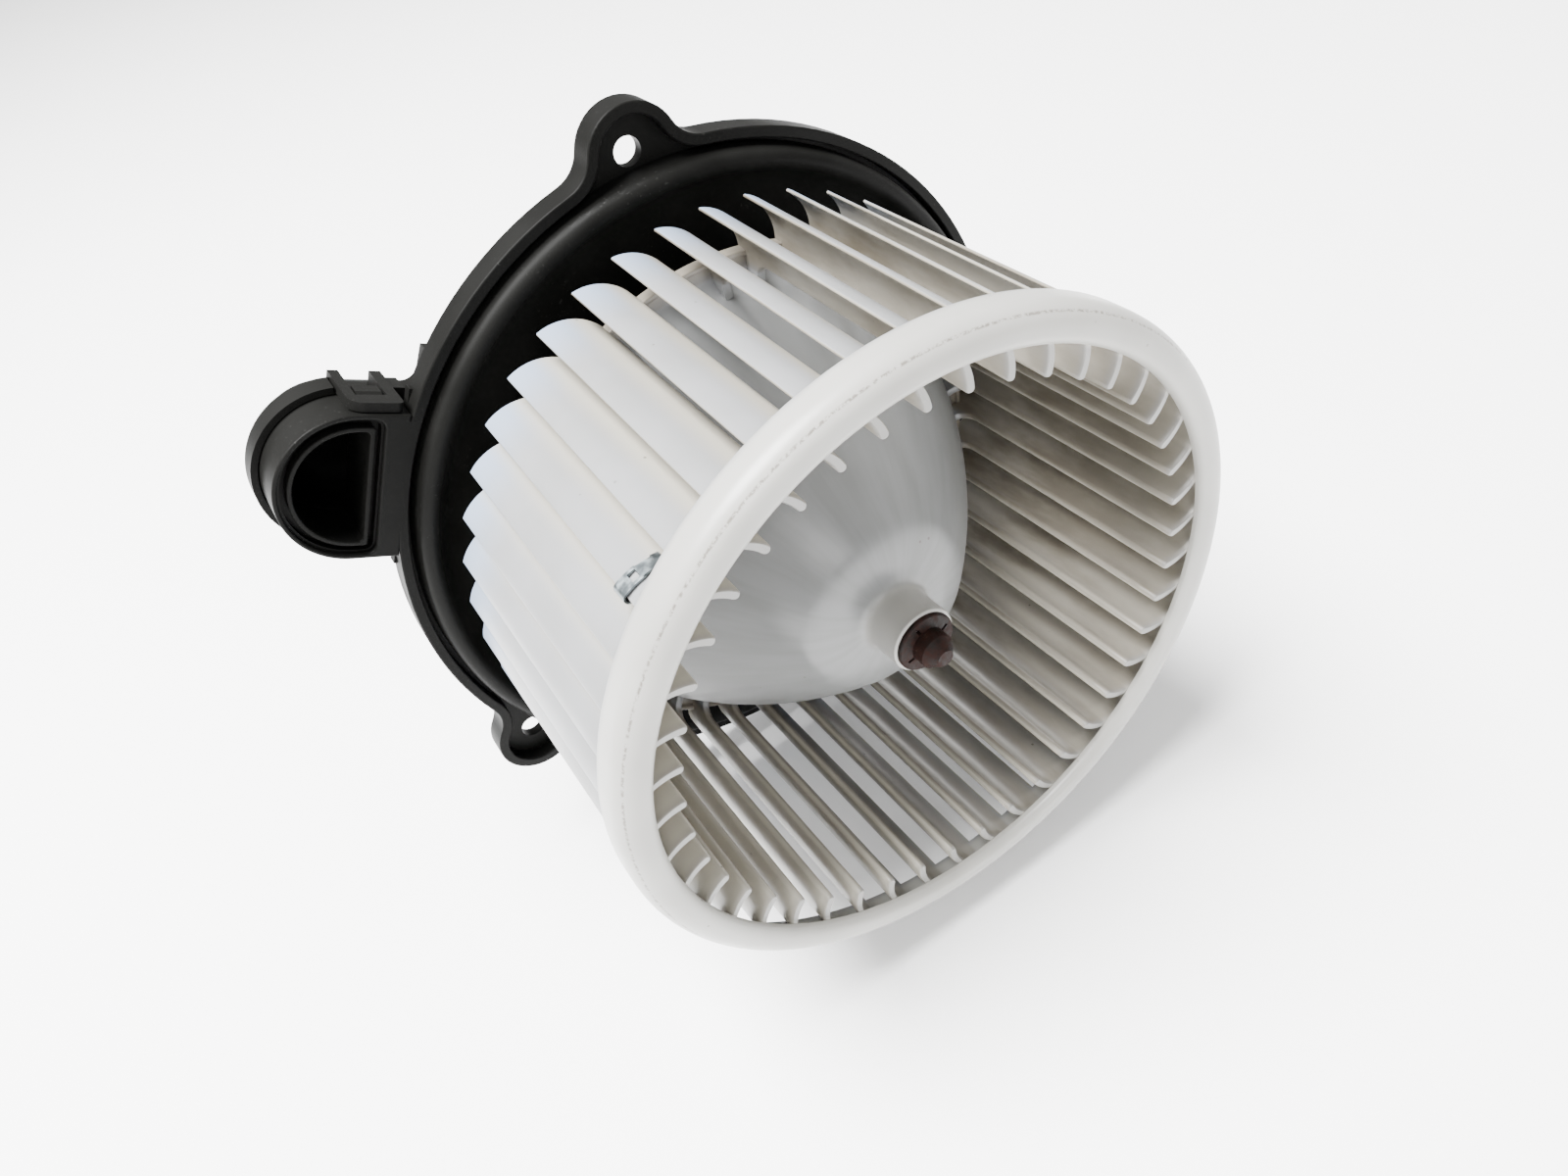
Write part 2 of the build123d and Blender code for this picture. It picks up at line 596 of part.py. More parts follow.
def brush_card():
    card = tube(12.4, 30.0, *CARD_Y)
    vent = prism(arc_sector(14.5, 27.5, 54.0), CARD_Y[0] - 1, CARD_Y[1] + 1)
    for angle in steps(4, 45.0):
        card -= spun(vent, angle)
    lead_hole = Pos(PIN_SPACING / 2, 0, SOCKET_Z) * rod(1.5, 22.0, 26.0)
    return card - lead_hole - mirror(lead_hole, Plane.YZ)


def brush():
    """Carbon block above the commutator, its working face ground to the commutator."""
    wide, deep, tall = BRUSH_SIZE
    foot = COMMUTATOR_R - 1.0
    block = Pos(0, BRUSH_Y, foot + tall / 2) * Box(wide, deep, tall)
    return block - rod(COMMUTATOR_R + 0.05, 10, 30)


def brush_holder():
    wide, deep, _ = BRUSH_SIZE
    low, high, wall = 12.6, 28.8, 0.5
    gap = 0.1
    middle = (low + high) / 2
    box = Pos(0, BRUSH_Y, middle) * Box(wide + 2 * (gap + wall), deep + 2 * (gap + wall), high - low)
    hollow = Pos(0, BRUSH_Y, middle - wall) * Box(wide + 2 * gap, deep + 2 * gap, high - low)
    return box - hollow


def brush_spring():
    low, high, coil_r, wire_r = 21.5, 27.9, 1.9, 0.25
    turns = 6
    path = Helix(pitch=(high - low) / turns, height=high - low, radius=coil_r)
    wire = sweep(Plane(origin=path @ 0, z_dir=path % 0) * Circle(wire_r), path)
    return Pos(0, BRUSH_Y, low) * wire


def below(shape):
    """The same piece on the opposite side of the axis."""
    return Rot(0, 180, 0) * shape


def choke(x):
    rod_part = Pos(x, 18.2, 0) * Cylinder(1.7, 15.0)
    turns = Pos(x, 18.2, 0) * (Cylinder(2.7, 10.0) - Cylinder(1.75, 10.0))
    for i in range(9):
        turns -= Pos(x, 18.2, -4.0 + i) * (Cylinder(3.0, 0.25) - Cylinder(2.45, 0.25))
    return rod_part, turns


def lead_wires():
    lead = Pos(PIN_SPACING / 2, 0, SOCKET_Z) * rod(1.4, CARD_Y[0], 36.0)
    return Compound(children=[lead, mirror(lead, Plane.YZ)])


def connector_shroud():
    wide, tall = SOCKET_SIZE
    outline = RectangleRounded(wide, tall, 1.5)
    shell = prism(outline, 38.0, SOCKET_END_Y)
    shell += prism(RectangleRounded(wide + 5, tall + 5, 2.0), COVER_BACK_Y, COVER_BACK_Y + 2)
    shell -= prism(RectangleRounded(wide - 3.4, tall - 3.4, 1.0), 43.0, SOCKET_END_Y + 1)
    shell += prism(Pos(0, tall / 2 + 0.9) * Rectangle(6.0, 2.0), 46.0, 50.0)
    for side in (-1, 1):
        shell -= prism(Pos(side * PIN_SPACING / 2, 0) * Rectangle(6.4, 0.9), 37.0, 44.0)
    return Pos(0, 0, SOCKET_Z) * shell


def terminal_pins():
    tab = prism(Rectangle(6.3, 0.8), 36.1, 51.0)
    tab = chamfer(tab.edges().group_by(Axis.Y)[-1].filter_by(Axis.X), 0.3)
    left = Pos(-PIN_SPACING / 2, 0, SOCKET_Z) * tab
    return Compound(children=[left, mirror(left, Plane.YZ)])


# ---------------------------------------------------------------- rotor

def shaft():
    return turned((0, 35.6), (SHAFT_R - 0.6, 35.6), (SHAFT_R, 35.0), (SHAFT_R, SHAFT_TIP_Y + 2.6),
                  (SHAFT_R - 2.1, SHAFT_TIP_Y), (0, SHAFT_TIP_Y))


def armature_core():
    teeth = Circle(10.5)
    for angle in steps(SLOT_COUNT, 15.0):
        teeth += Rot(0, 0, angle) * Pos(15.0, 0) * Rectangle(14.0, 3.2)
        teeth += Rot(0, 0, angle) * (arc_sector(CORE_R - 1.8, CORE_R, 24.0))
    return prism(teeth - Circle(PRESS_BORE_R), *CORE_Y)


def armature_windings():
    front = tube(10.9, 21.0, CORE_Y[0] - 7, CORE_Y[0] - 0.2)
    back = tube(10.9, 21.0, CORE_Y[1] + 0.2, CORE_Y[1] + 6.3)
    front = fillet(front.edges().group_by(Axis.Y)[0], 2.5)
    back = fillet(back.edges().group_by(Axis.Y)[-1], 2.5)
    return front.fuse(back, *ring_of(coil_side(), steps(SLOT_COUNT)))


def coil_side():
    """Coil side lying in one slot, clear of the teeth."""
    outline = make_face(Polyline((11.2, 0.9), (19.8, 3.1), (19.8, -3.1), (11.2, -0.9), close=True))
    return prism(outline, CORE_Y[0] - 1, CORE_Y[1] + 1)


def commutator():
    segment = arc_sector(6.3, COMMUTATOR_R, 360.0 / SLOT_COUNT - 2.6)
    riser = arc_sector(6.3, COMMUTATOR_R + 1.3, 12.0)
    bar = prism(segment, *COMMUTATOR_Y) + prism(riser, COMMUTATOR_Y[0], COMMUTATOR_Y[0] + 1.2)
    return Compound(children=ring_of(bar, steps(SLOT_COUNT, 15.0)))


def thrust_washers():
    return Compound(children=[tube(PRESS_BORE_R, 7.0, -32.0, -31.0), tube(PRESS_BORE_R, 7.0, 24.6, 25.0)])


def retaining_washer():
    """Push-on nut: a dished ring with short slots from its bore."""
    ring = turned((PRESS_BORE_R, -82.6), (6.6, -82.2), (6.85, -81.9), (6.85, BOSS_END_Y),
                  (PRESS_BORE_R + 0.5, BOSS_END_Y))
    slot = prism(Pos(4.6, 0) * Rectangle(2.0, 0.7), -84.0, -81.0)
    for angle in steps(4, 20.0):
        ring -= spun(slot, angle)
    return ring


def main():
    core, turns = choke(20.5)
    other_core, other_turns = choke(-20.5)
    hub, blades, ring = wheel_pieces()
    flange, inlet = split_beyond(flange_housing(), INLET_SPLIT)
    cover, elbow = split_beyond(rear_cover(), ELBOW_SPLIT)
    nodes = {
        "flange_housing": flange,
        "inlet_duct": inlet,
        "rear_cover": cover,
        "cooling_elbow": elbow,
        "cover_screws": cover_screws(),
        "motor_can": motor_can(),
        "end_plate": end_plate(),
        "magnet_left": magnet(180.0),
        "magnet_right": magnet(0.0),
        "magnet_clips": magnet_clips(),
        "front_isolator": front_isolator(),
        "rear_isolator": rear_isolator(),
        "front_bearing": bearing(FRONT_BEARING_Y),
        "rear_bearing": bearing(REAR_BEARING_Y),
        "oil_felts": oil_felts(),
        "bearing_retainers": bearing_retainers(),
        "brush_card": brush_card(),
        "brush_holder_upper": brush_holder(),
        "brush_holder_lower": below(brush_holder()),
        "brush_upper": brush(),
        "brush_lower": below(brush()),
        "brush_spring_upper": brush_spring(),
        "brush_spring_lower": below(brush_spring()),
        "choke_cores": Compound(children=[core, other_core]),
        "choke_windings": Compound(children=[turns, other_turns]),
        "lead_wires": lead_wires(),
        "connector_shroud": connector_shroud(),
        "terminal_pins": terminal_pins(),
        "wheel_hub": hub,
        "wheel_blades": blades,
        "wheel_ring": ring,
        "shaft": shaft(),
        "armature_core": armature_core(),
        "armature_windings": armature_windings(),
        "commutator": commutator(),
        "commutator_hub": tube(PRESS_BORE_R, 6.25, 13.0, 24.5),
        "spacer_tube": tube(PRESS_BORE_R, 6.0, -30.9, -20.1),
        "thrust_washers": thrust_washers(),
        "retaining_washer": retaining_washer(),
        "balance_clip": balance_clip(),
    }
    for name, shape in nodes.items():
        export_step(shape, f"parts/{name}.step")


os.makedirs("parts", exist_ok=True)
main()
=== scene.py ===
import json
from math import cos, pi, radians, sin

import bmesh
import bpy
from mathutils import Matrix, Vector


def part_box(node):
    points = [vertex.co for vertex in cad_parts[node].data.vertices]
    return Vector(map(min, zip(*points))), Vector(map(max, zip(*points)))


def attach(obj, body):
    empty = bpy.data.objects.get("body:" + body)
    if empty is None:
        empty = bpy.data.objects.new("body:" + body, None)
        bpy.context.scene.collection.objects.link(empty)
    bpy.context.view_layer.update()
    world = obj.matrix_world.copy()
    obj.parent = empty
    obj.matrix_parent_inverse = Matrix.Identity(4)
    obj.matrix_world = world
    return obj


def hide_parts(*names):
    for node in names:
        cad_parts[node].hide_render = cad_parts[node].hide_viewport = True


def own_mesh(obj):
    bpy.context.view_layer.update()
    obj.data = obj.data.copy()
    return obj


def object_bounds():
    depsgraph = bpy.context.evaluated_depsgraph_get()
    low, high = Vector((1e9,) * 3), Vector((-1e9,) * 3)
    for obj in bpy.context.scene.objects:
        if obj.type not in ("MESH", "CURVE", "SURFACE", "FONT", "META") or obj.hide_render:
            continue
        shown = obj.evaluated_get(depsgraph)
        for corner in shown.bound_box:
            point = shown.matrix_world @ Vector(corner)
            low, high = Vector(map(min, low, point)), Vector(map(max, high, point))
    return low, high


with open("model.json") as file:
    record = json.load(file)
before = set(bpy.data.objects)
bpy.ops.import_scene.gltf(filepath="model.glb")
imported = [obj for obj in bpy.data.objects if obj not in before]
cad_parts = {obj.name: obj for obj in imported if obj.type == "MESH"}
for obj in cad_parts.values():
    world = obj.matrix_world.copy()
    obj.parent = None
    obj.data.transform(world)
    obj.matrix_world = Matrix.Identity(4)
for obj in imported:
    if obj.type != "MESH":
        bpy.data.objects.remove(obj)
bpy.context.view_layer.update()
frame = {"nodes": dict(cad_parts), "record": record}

MM = 0.001

# A car heater blower. Every CAD node keeps its own mesh and gets a material, apart from the wheel
# and the two brush springs, which are modelled below. The wheel's numbers are in millimetres.
# Depths are measured from the blades' rear tips towards the wheel's mouth.


# ---------------------------------------------------------------- camera and light

FLOOR_GAP = 4.0 * MM


def add_camera():
    """Camera at the reference view, looking down at the wheel's mouth from the upper left."""
    data = bpy.data.cameras.new("camera")
    data.lens = 26.0
    data.sensor_width = 36.0
    camera = bpy.data.objects.new("camera", data)
    bpy.context.scene.collection.objects.link(camera)
    right = Vector((0.8182, -0.5376, -0.2040)).normalized()
    back = Vector((-0.2741, -0.6764, 0.6837)).normalized()
    up = back.cross(right).normalized()
    right = up.cross(back)
    place = Matrix((right, up, back)).transposed().to_4x4()
    place.translation = (-0.0821, -0.2180, 0.1729)
    camera.matrix_world = place
    bpy.context.scene.camera = camera


def add_area(name, place, target, size, watts):
    """Round soft light at a place, turned towards a target."""
    data = bpy.data.lights.new(name, "AREA")
    data.shape = "DISK"
    data.size = size
    data.energy = watts
    lamp = bpy.data.objects.new(name, data)
    bpy.context.scene.collection.objects.link(lamp)
    lamp.location = place
    aim = Vector(target) - Vector(place)
    lamp.rotation_euler = aim.to_track_quat("-Z", "Y").to_euler()


def add_studio():
    """Pale floor just below the object, even sky light, and three soft lights."""
    floor_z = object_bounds()[0][2] - FLOOR_GAP
    bpy.ops.mesh.primitive_plane_add(size=12.0, location=(0, 0, floor_z))
    floor = bpy.context.object
    floor.name = "studio_floor"
    shader = Shader("studio_floor", (0.96, 0.96, 0.96), roughness=0.9)
    floor.data.materials.append(shader.material)
    world = bpy.data.worlds.new("studio")
    world.use_nodes = True
    sky = world.node_tree.nodes["Background"]
    sky.inputs["Color"].default_value = (1.0, 0.995, 0.98, 1)
    sky.inputs["Strength"].default_value = 0.9
    bpy.context.scene.world = world
    add_area("key_light", (-0.45, 0.10, 1.3), (0, -0.04, 0), 0.9, 170.0)
    add_area("side_fill", (-1.4, -0.4, 0.5), (0, -0.04, 0), 1.0, 8.0)
    add_area("mouth_fill", (-0.30, -1.10, 0.75), (0.01, -0.05, -0.03), 0.5, 8.0)


# ---------------------------------------------------------------- material kit

class Shader:
    """A Principled material and short calls for the nodes that feed it."""

    def __init__(self, name, colour, roughness=0.5, metallic=0.0):
        self.material = bpy.data.materials.new(name)
        self.material.use_nodes = True
        self.tree = self.material.node_tree
        self.bsdf = self.tree.nodes["Principled BSDF"]
        self.bsdf.inputs["Base Color"].default_value = (*colour, 1.0)
        self.bsdf.inputs["Roughness"].default_value = roughness
        self.bsdf.inputs["Metallic"].default_value = metallic
        self._axes = None

    def node(self, kind, **values):
        made = self.tree.nodes.new(kind)
        for key, value in values.items():
            setattr(made, key, value)
        return made

    def link(self, source, socket):
        self.tree.links.new(source, socket)

    def coordinates(self):
        """Object coordinates, in metres in the row's frame."""
        return self.node("ShaderNodeTexCoord").outputs["Object"]

    def noise(self, scale, detail=3.0, stretch=(1, 1, 1), rough=0.5):
        mapping = self.node("ShaderNodeMapping")
        mapping.inputs["Scale"].default_value = stretch
        self.link(self.coordinates(), mapping.inputs["Vector"])
        made = self.node("ShaderNodeTexNoise")
        made.inputs["Scale"].default_value = scale
        made.inputs["Detail"].default_value = detail
        made.inputs["Roughness"].default_value = rough
        self.link(mapping.outputs["Vector"], made.inputs["Vector"])
        return made.outputs["Fac"]

    def ramp(self, source, low, high):
        """A smooth step from 0 at low to 1 at high."""
        made = self.node("ShaderNodeMapRange", interpolation_type="SMOOTHSTEP")
        made.inputs["From Min"].default_value = low
        made.inputs["From Max"].default_value = high
        self.link(source, made.inputs["Value"])
        return made.outputs["Result"]

    def fall(self, source, low, high):
        """A smooth step from 1 at low to 0 at high."""
        return self.math("SUBTRACT", 1.0, self.ramp(source, low, high))

    def math(self, operation, first, second=None):
        made = self.node("ShaderNodeMath", operation=operation)
        for socket, value in zip(made.inputs, (first, second)):
            if value is None:
                continue
            if isinstance(value, (int, float)):
                socket.default_value = value
            else:
                self.link(value, socket)
        return made.outputs[0]

    def times(self, first, *others):
        """Product of sockets and numbers."""
        for other in others:
            first = self.math("MULTIPLY", first, other)
        return first

    def mix(self, factor, first, second):
        """Blend of two colours; each is a colour tuple or a socket."""
        made = self.node("ShaderNodeMix", data_type="RGBA")
        self.link(factor, made.inputs["Factor"])
        for socket, value in ((made.inputs["A"], first), (made.inputs["B"], second)):
            if isinstance(value, tuple):
                socket.default_value = (*value, 1.0)
            else:
                self.link(value, socket)
        return made.outputs["Result"]

    def axes(self):
        """(x, y, z, radius about the spin axis) as sockets."""
        if self._axes is None:
            split = self.node("ShaderNodeSeparateXYZ")
            self.link(self.coordinates(), split.inputs[0])
            x, y, z = split.outputs
            square = self.math("ADD", self.times(x, x), self.times(z, z))
            self._axes = (x, y, z, self.math("SQRT", square))
        return self._axes

    def colour(self, source):
        self.link(source, self.bsdf.inputs["Base Color"])

    def roughness(self, source, low, high):
        made = self.node("ShaderNodeMapRange")
        made.inputs["To Min"].default_value = low
        made.inputs["To Max"].default_value = high
        self.link(source, made.inputs["Value"])
        self.link(made.outputs["Result"], self.bsdf.inputs["Roughness"])

    def bump(self, source, strength, distance):
        made = self.node("ShaderNodeBump")
        made.inputs["Strength"].default_value = strength
        made.inputs["Distance"].default_value = distance
        self.link(source, made.inputs["Height"])
        self.link(made.outputs["Normal"], self.bsdf.inputs["Normal"])


def white_plastic():
    """Off-white polypropylene with painted light and shade: greyer on the dome and blades as painted
    shade, lighter on the boss and inner backs as painted light, and dirt with painted shade near the
    hub and on the hollow faces.
    """
    s = Shader("white_plastic", (0.78, 0.78, 0.76), roughness=0.36)
    s.bsdf.inputs["Subsurface Weight"].default_value = 0.12
    s.bsdf.inputs["Subsurface Radius"].default_value = (1.0, 0.95, 0.85)
    s.bsdf.inputs["Subsurface Scale"].default_value = 0.0015
    s.bsdf.inputs["IOR"].default_value = 1.49
    cloudy = s.ramp(s.noise(38.0, 3.0), 0.3, 0.75)
    facing = turning_side(s)
    base = painted_light_white(s, cloudy)
    base = aged_and_lit_faces(s, base, facing)
    base = soiled_and_shaded_blades(s, base, facing)
    base = seam_and_specks(s, base)
    s.colour(base)
    s.roughness(cloudy, 0.28, 0.42)
    s.bump(s.noise(900.0, 2.0), 0.06, 0.0002)
    return s.material


def turning_side(s):
    """1 on a face that looks along the turning direction, -1 on one that looks against it."""
    x, _, z, radius = s.axes()
    normal = s.node("ShaderNodeSeparateXYZ")
    s.link(s.node("ShaderNodeTexCoord").outputs["Normal"], normal.inputs[0])
    moment = s.math("SUBTRACT", s.times(normal.outputs[2], x), s.times(normal.outputs[0], z))
    return s.math("DIVIDE", moment, radius)


def painted_light_white(s, cloudy):
    """One white plastic in painted lit and shaded tones: blades a darker grey than the ring as
    painted shade, the dome a painted shaded grey, the boss and the rear tips painted light.
    """
    x, y, z, radius = s.axes()
    # Painted shade: the blades get a darker grey than the ring, although both are the same plastic.
    base = s.mix(cloudy, (0.20, 0.203, 0.208), (0.17, 0.172, 0.172))
    on_ring = s.times(s.fall(y, -0.086, -0.084), s.ramp(radius, 0.0665, 0.0675))
    base = s.mix(on_ring, base, s.mix(cloudy, (0.33, 0.325, 0.305), (0.28, 0.275, 0.257)))
    # The dome's darker grey is painted shade, with soft streaks that run out from the boss.
    dome_painted_shade = s.fall(radius, 0.055, 0.0595)
    spokes = s.ramp(spoke_noise(s, x, z, radius), 0.35, 0.70)
    base = s.mix(dome_painted_shade, base, s.mix(spokes, (0.148, 0.151, 0.151), (0.130, 0.133, 0.131)))
    # Painted light: the boss gets a lighter colour, as if lit from the front.
    boss_painted_light = s.times(s.fall(radius, 0.0077, 0.0110), s.fall(y, -0.0725, -0.0705))
    base = s.mix(boss_painted_light, base, (0.30, 0.295, 0.28))
    # Painted light: a bluish tint on the blades' rear tips, as of cool light falling on them.
    tips_painted_light = s.times(s.ramp(y, -0.034, -0.012), s.ramp(radius, 0.062, 0.070))
    return s.mix(tips_painted_light, base, (0.20, 0.245, 0.32))


def aged_and_lit_faces(s, base, facing):
    """Yellower plastic on the hollow faces and inside, and painted light that makes the backs' inner
    half paler.
    """
    _, y, _, radius = s.axes()
    inside = s.fall(radius, 0.0665, 0.0715)
    off_ring = s.times(s.ramp(radius, 0.0595, 0.061), s.ramp(y, -0.0915, -0.088))
    hollow = s.ramp(facing, 0.1, 0.8)
    warm = s.times(s.math("MAXIMUM", hollow, inside), off_ring, 0.8)
    base = s.mix(warm, base, (0.215, 0.195, 0.155))
    # Painted light: the blades' backs inside the ring get a paler colour, as if lit from the front.
    back = s.ramp(facing, 0.1, -0.5)
    return s.mix(s.times(back, inside, off_ring), base, (0.35, 0.33, 0.28))


def soiled_and_shaded_blades(s, base, facing):
    """Streaks of dirt on the hollow faces, darkened towards the hub as painted shade, and dark roots
    that are partly dirt and partly painted shade.
    """
    _, y, _, radius = s.axes()
    on_blades = s.times(s.ramp(radius, 0.0595, 0.061), s.ramp(y, -0.093, -0.086))
    streaks = s.ramp(s.noise(75.0, 5.0, (1, 0.3, 1), 0.6), 0.38, 0.66)
    # Painted shade: the dirt grows darker towards the hub, deep inside the wheel.
    depth = s.math("ADD", s.times(s.ramp(y, -0.085, -0.022), 0.50), 0.42)
    grime_and_shade = s.times(s.ramp(facing, 0.1, 0.8), on_blades, streaks, depth)
    base = s.mix(grime_and_shade, base, (0.075, 0.060, 0.038))
    # The darker band at the blades' roots is partly dirt and partly painted shade in the crease.
    roots = s.times(s.fall(radius, 0.0615, 0.0665), s.ramp(radius, 0.0585, 0.0595))
    root_dirt_and_shade = s.times(roots, s.ramp(y, -0.040, -0.017), 0.6)
    return s.mix(root_dirt_and_shade, base, (0.085, 0.070, 0.050))


def seam_and_specks(s, base):
    """Dotted line of dirt along the ring's seam, and loose specks."""
    _, y, _, radius = s.axes()
    off_seam = s.math("ABSOLUTE", s.math("SUBTRACT", radius, 0.0736))
    seam = s.times(s.fall(off_seam, 0.00005, 0.00030), s.fall(y, -0.0925, -0.0900))
    broken = s.ramp(s.noise(1300.0, 4.0, rough=0.65), 0.42, 0.58)
    base = s.mix(s.times(seam, broken, 0.95), base, (0.09, 0.075, 0.06))
    return s.mix(s.times(specks(s, 230.0), 0.85), base, (0.06, 0.05, 0.04))


def spoke_noise(s, x, z, radius):
    """Noise that changes with the angle about the axis but hardly along the radius."""
    inverse = s.math("DIVIDE", 1.0, s.math("MAXIMUM", radius, 0.004))
    place = s.node("ShaderNodeCombineXYZ")
    s.link(s.times(x, inverse), place.inputs[0])
    s.link(s.times(z, inverse), place.inputs[1])
    s.link(s.times(radius, 6.0), place.inputs[2])
    made = s.node("ShaderNodeTexNoise")
    made.inputs["Scale"].default_value = 9.0
    made.inputs["Detail"].default_value = 3.0
    s.link(place.outputs[0], made.inputs["Vector"])
    return made.outputs["Fac"]


def specks(s, scale):
    """Small round spots, gathered in a few places."""
    cells = s.node("ShaderNodeTexVoronoi")
    cells.inputs["Scale"].default_value = scale
    s.link(s.coordinates(), cells.inputs["Vector"])
    dot = s.fall(cells.outputs["Distance"], 0.05, 0.09)
    rare = s.ramp(s.noise(55.0, 1.0), 0.60, 0.66)
    return s.times(dot, rare)


def black_plastic():
    """Fine matte black moulding with a soft sheen on its rounded bead and a few pale scuffs."""
    s = Shader("black_plastic", (0.003, 0.003, 0.003), roughness=0.5)
    s.bsdf.inputs["Specular IOR Level"].default_value = 0.05
    cloud = s.ramp(s.noise(45.0, 4.0), 0.35, 0.7)
    base = s.mix(cloud, (0.0034, 0.0034, 0.0031), (0.0052, 0.0052, 0.0048))
    patches = s.ramp(s.noise(60.0, 2.0), 0.48, 0.62)
    dust = s.times(s.ramp(s.noise(1500.0, 2.0), 0.66, 0.72), patches)
    base = s.mix(s.times(dust, 0.3), base, (0.04, 0.04, 0.038))
    s.colour(base)
    s.roughness(cloud, 0.40, 0.56)
    s.bump(s.noise(2600.0, 2.0, rough=0.7), 0.20, 0.00012)
    return s.material


def rust():
    """Brown rust, mottled, with paler flecks."""
    s = Shader("rusted_steel", (0.13, 0.06, 0.045), roughness=0.6)
    s.bsdf.inputs["Specular IOR Level"].default_value = 0.10
    patches = s.ramp(s.noise(420.0, 5.0, rough=0.7), 0.35, 0.65)
    base = s.mix(patches, (0.006, 0.0040, 0.0034), (0.016, 0.0058, 0.0042))
    pale = s.ramp(s.noise(900.0, 3.0), 0.62, 0.72)
    s.colour(s.mix(s.times(pale, 0.5), base, (0.030, 0.018, 0.012)))
    s.roughness(patches, 0.45, 0.75)
    s.bump(s.noise(1500.0, 4.0, rough=0.7), 0.5, 0.0002)
    return s.material


def metal(name, dark, light, rough, scale=500.0, bump=0.1, metallic=1.0, stretch=(1, 1, 1)):
    """Mottled between two shades, with fine relief."""
    s = Shader(name, light, roughness=rough, metallic=metallic)
    cloud = s.ramp(s.noise(scale, 4.0, stretch), 0.35, 0.7)
    s.colour(s.mix(cloud, dark, light))
    s.roughness(cloud, rough * 0.8, min(1.0, rough * 1.25))
    s.bump(s.noise(scale * 2, 3.0, stretch), bump, 0.0001)
    return s.material


def plain(name, dark, light, rough, scale=300.0, bump=0.15):
    """The same for plastic, rubber and felt."""
    return metal(name, dark, light, rough, scale, bump, metallic=0.0)


def make_materials():
    """One material for each material slot of the record."""
    return {
        "black_plastic": black_plastic(),
        "white_plastic": white_plastic(),
        "rusted_steel": rust(),
        "zinc_clip": metal("zinc_clip", (0.13, 0.15, 0.16), (0.24, 0.27, 0.28), 0.42, 600.0, 0.15),
        "zinc_screws": metal("zinc_screws", (0.20, 0.20, 0.19), (0.34, 0.35, 0.36), 0.36),
        "zinc_steel": metal("zinc_steel", (0.46, 0.47, 0.48), (0.62, 0.64, 0.66), 0.35, 200.0),
        "spring_steel": metal("spring_steel", (0.30, 0.30, 0.31), (0.52, 0.52, 0.53), 0.35),
        "bronze": metal("bronze", (0.30, 0.19, 0.09), (0.50, 0.34, 0.18), 0.5, 900.0, 0.3),
        "brass": metal("brass", (0.62, 0.46, 0.20), (0.80, 0.62, 0.30), 0.32),
        "copper": metal("copper", (0.42, 0.16, 0.07), (0.72, 0.33, 0.16), 0.35, 700.0, 0.3),
        "commutator_copper": metal("commutator_copper", (0.60, 0.28, 0.16), (0.82, 0.46, 0.30), 0.28),
        "tinned_brass": metal("tinned_brass", (0.58, 0.57, 0.54), (0.76, 0.75, 0.71), 0.28),
        "core_steel": metal("core_steel", (0.16, 0.16, 0.17), (0.34, 0.34, 0.36), 0.45, 1200.0, 0.4,
                            stretch=(0.05, 3.0, 0.05)),
        "ferrite": plain("ferrite", (0.035, 0.035, 0.038), (0.070, 0.070, 0.075), 0.6),
        "rubber": plain("rubber", (0.012, 0.012, 0.012), (0.026, 0.026, 0.026), 0.7),
        "felt": plain("felt", (0.35, 0.30, 0.22), (0.55, 0.50, 0.40), 0.95, 1500.0, 0.8),
        "phenolic": plain("phenolic", (0.085, 0.045, 0.025), (0.14, 0.080, 0.050), 0.45),
        "carbon": plain("carbon", (0.015, 0.015, 0.016), (0.040, 0.040, 0.042), 0.5),
        "wire_insulation": plain("wire_insulation", (0.38, 0.02, 0.015), (0.52, 0.04, 0.03), 0.35),
        "grey_plastic": plain("grey_plastic", (0.030, 0.030, 0.032), (0.045, 0.045, 0.047), 0.45),
        "nylon": plain("nylon", (0.62, 0.60, 0.52), (0.76, 0.74, 0.66), 0.4),
    }


# ---------------------------------------------------------------- wheel

BLADES = 43
PITCH = 360.0 / BLADES
PHASE = 1.3
TWIST = 1.3
REAR_Y = -13.2
FRONT_Y = -90.2
BLADE_LENGTH = REAR_Y - FRONT_Y
END_ROUNDING = 0.24

# A blade's section is an arc about CAMBER_CENTRE, from the tip to the inner edge.
CAMBER_R = 11.78
CAMBER_CENTRE = (61.67, 3.57)
TIP_ANGLE = -17.6
NOSE_ANGLE = -92.3
TIP_HALF_THICKNESS = 0.32
NOSE_HALF_THICKNESS = 0.95

# Near the hub a web reaches inwards from each blade, with a rounded bend at its end.
WEB_START = 1.2
WEB_TOP = 12.6
WEB_BEND = 6.2
WEB_ACROSS = 7.0
WEB_POWER = 2.6

RING_FRONT = -93.2
RING_BACK = -84.2
RING_R = 75.0
RING_LIP_R = 67.6
TIP_R = 72.9

PLATE_R = 62.8
PLATE_TOP = REAR_Y - 2.6
DOME_R = 57.5
DOME_OFFSET = 6.2
DOME_LENGTH = 76.58
DOME_WALL = 2.0
BOSS_R = 7.5
BOSS_END = -81.2
BOSS_BASE = -71.0
BORE_R = 4.0
BORE_FLOOR_Y = -62.0
ROUND_STEPS = 4 * BLADES


